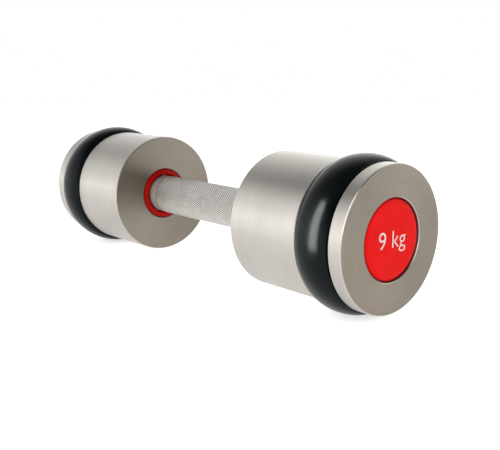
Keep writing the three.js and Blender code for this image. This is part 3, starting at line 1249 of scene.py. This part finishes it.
world = bpy.data.worlds.new("white_room")
world.use_nodes = True
tree = world.node_tree
tree.nodes.clear()
direction = add_node(tree, "ShaderNodeTexCoord").outputs["Generated"]
split = add_node(tree, "ShaderNodeSeparateXYZ", links={0: direction})
height = add_node(
    tree, "ShaderNodeVectorMath", {1: ROOM_TILT}, {0: direction}, operation="DOT_PRODUCT"
)
from_line = add_node(
    tree, "ShaderNodeMath", {1: -DARK_LINE_Y}, {0: split.outputs["Y"]}, operation="ADD"
)
either_side = add_node(
    tree, "ShaderNodeMath", links={0: from_line.outputs[0]}, operation="ABSOLUTE"
)
overhead = add_node(
    tree,
    "ShaderNodeMath",
    {1: FALL_FROM_LINE},
    {0: either_side.outputs[0], 2: height.outputs["Value"]},
    operation="MULTIPLY_ADD",
)
along_bar = add_node(
    tree, "ShaderNodeMath", {1: PLUS_X_SIDE}, {0: split.outputs["X"]}, operation="SUBTRACT"
)
past_side = add_node(
    tree, "ShaderNodeMath", {1: 0.0}, {0: along_bar.outputs[0]}, operation="MAXIMUM"
)
darkness = add_node(
    tree,
    "ShaderNodeMath",
    {1: PLUS_X_GAIN},
    {0: past_side.outputs[0], 2: overhead.outputs[0]},
    operation="MULTIPLY_ADD",
)
print("darkness runs from", ROOM_LOW, "to", ROOM_HIGH)

# %% How bright that makes it
place = add_node(
    tree,
    "ShaderNodeMapRange",
    {"From Min": ROOM_LOW, "From Max": ROOM_HIGH},
    {"Value": darkness.outputs[0]},
)
ramp = add_node(tree, "ShaderNodeValToRGB", links={"Fac": place.outputs["Result"]})
stops = ramp.color_ramp.elements
while len(stops) < len(ROOM):
    stops.new(0.5)
for stop, (at, brightness) in zip(stops, ROOM):
    stop.position = (at - ROOM_LOW) / (ROOM_HIGH - ROOM_LOW)
    stop.color = 3 * [brightness / ROOM_STRENGTH] + [1.0]
room_light = add_node(
    tree, "ShaderNodeBackground", {"Strength": ROOM_STRENGTH}, {"Color": ramp.outputs["Color"]}
)
backdrop = add_node(tree, "ShaderNodeBackground", {"Color": linear("FFFFFF")})
seen_directly = add_node(tree, "ShaderNodeLightPath")
both = add_node(
    tree,
    "ShaderNodeMixShader",
    links={
        0: seen_directly.outputs["Is Camera Ray"],
        1: room_light.outputs[0],
        2: backdrop.outputs[0],
    },
)
add_node(tree, "ShaderNodeOutputWorld", links={"Surface": both.outputs[0]})
bpy.context.scene.world = world
print("the room's brightness runs from", ROOM[-1][1], "to", ROOM[0][1])

# %% Lamps
def soft_panel(name, centre, faces, width, height, radiance, only=None):
    """A rectangular soft lamp that faces a point. It can be only for gloss, or only for fill."""
    lamp = bpy.data.lights.new(name, "AREA")
    lamp.shape = "RECTANGLE"
    lamp.size = width
    lamp.size_y = height
    lamp.energy = radiance * math.pi * width * height
    holder = bpy.data.objects.new(name, lamp)
    holder.location = centre
    aim = Vector(faces) - Vector(centre)
    holder.rotation_euler = aim.to_track_quat("-Z", "Y").to_euler()
    holder.visible_camera = False
    holder.visible_glossy = only != "fill"
    holder.visible_diffuse = only != "gloss"
    bpy.context.scene.collection.objects.link(holder)
    return holder


def light_only(lamp, piece_name):
    """Keeps a lamp's light to the two pieces with this name."""
    lit = bpy.data.collections.new(f"{piece_name}_only")
    for side in ("right", "left"):
        lit.objects.link(bpy.data.objects[f"{piece_name}_{side}_look"])
    lamp.light_linking.receiver_collection = lit


STRIP_HEIGHT = 0.052
strip_z = floor_height + STRIP_HEIGHT / 2
soft_panel(
    "low_strip",
    centre=(-0.215, -0.21, strip_z),
    faces=(-0.215, 0, strip_z),
    width=0.47,
    height=STRIP_HEIGHT,
    radiance=0.2,
    only="gloss",
)

# A soft box far out to the front brightens the upper front of the +X head's steel.
soft_panel(
    "left_box",
    centre=(-0.2, -0.46, 0.22),
    faces=(0.15, -0.045, 0.02),
    width=0.26,
    height=0.26,
    radiance=0.25,
    only="gloss",
)

# The rubber is so dark that only a strong lamp shows on it. This one shines on nothing else.
side_box = soft_panel(
    "side_box",
    centre=(0.111, -0.139, 0.047),
    faces=(0.144, -0.045, 0.047),
    width=0.05,
    height=0.15,
    radiance=18,
    only="gloss",
)
light_only(side_box, "bumper_ring")

# The chamfers round the end faces look straight back at whoever stands in front of them.
# A tall panel there draws a bright line along them.
edge_panel = soft_panel(
    "edge_panel",
    centre=(0.75, -0.5, 0.45),
    faces=(0.16, 0, 0),
    width=0.5,
    height=0.9,
    radiance=2.2,
    only="gloss",
)
light_only(edge_panel, "end_cap")

# A large panel fills the shadows of the plastic and the rubber.
soft_panel(
    "fill", centre=(0.6, -1.0, 0.6), faces=(0, 0, 0), width=1, height=1, radiance=3, only="fill"
)
print("lamps:", ", ".join(lamp.name for lamp in bpy.data.lights))

# %% Camera
LENS_MM = 54.4
SENSOR_MM = 36
CAMERA_PLACE = (0.4279, -0.3434, 0.0965)
CAMERA_LOOKS = (-0.7372, 0.6456, -0.2005)

camera_data = bpy.data.cameras.new("camera")
camera_data.lens = LENS_MM
camera_data.sensor_width = SENSOR_MM
camera = bpy.data.objects.new("camera", camera_data)
camera.location = CAMERA_PLACE
camera.rotation_euler = Vector(CAMERA_LOOKS).to_track_quat("-Z", "Y").to_euler()
bpy.context.scene.collection.objects.link(camera)
bpy.context.scene.camera = camera
bpy.context.scene.view_settings.view_transform = "Standard"
print("the camera is", round(camera.location.length, 3), "m from the middle of the grip")
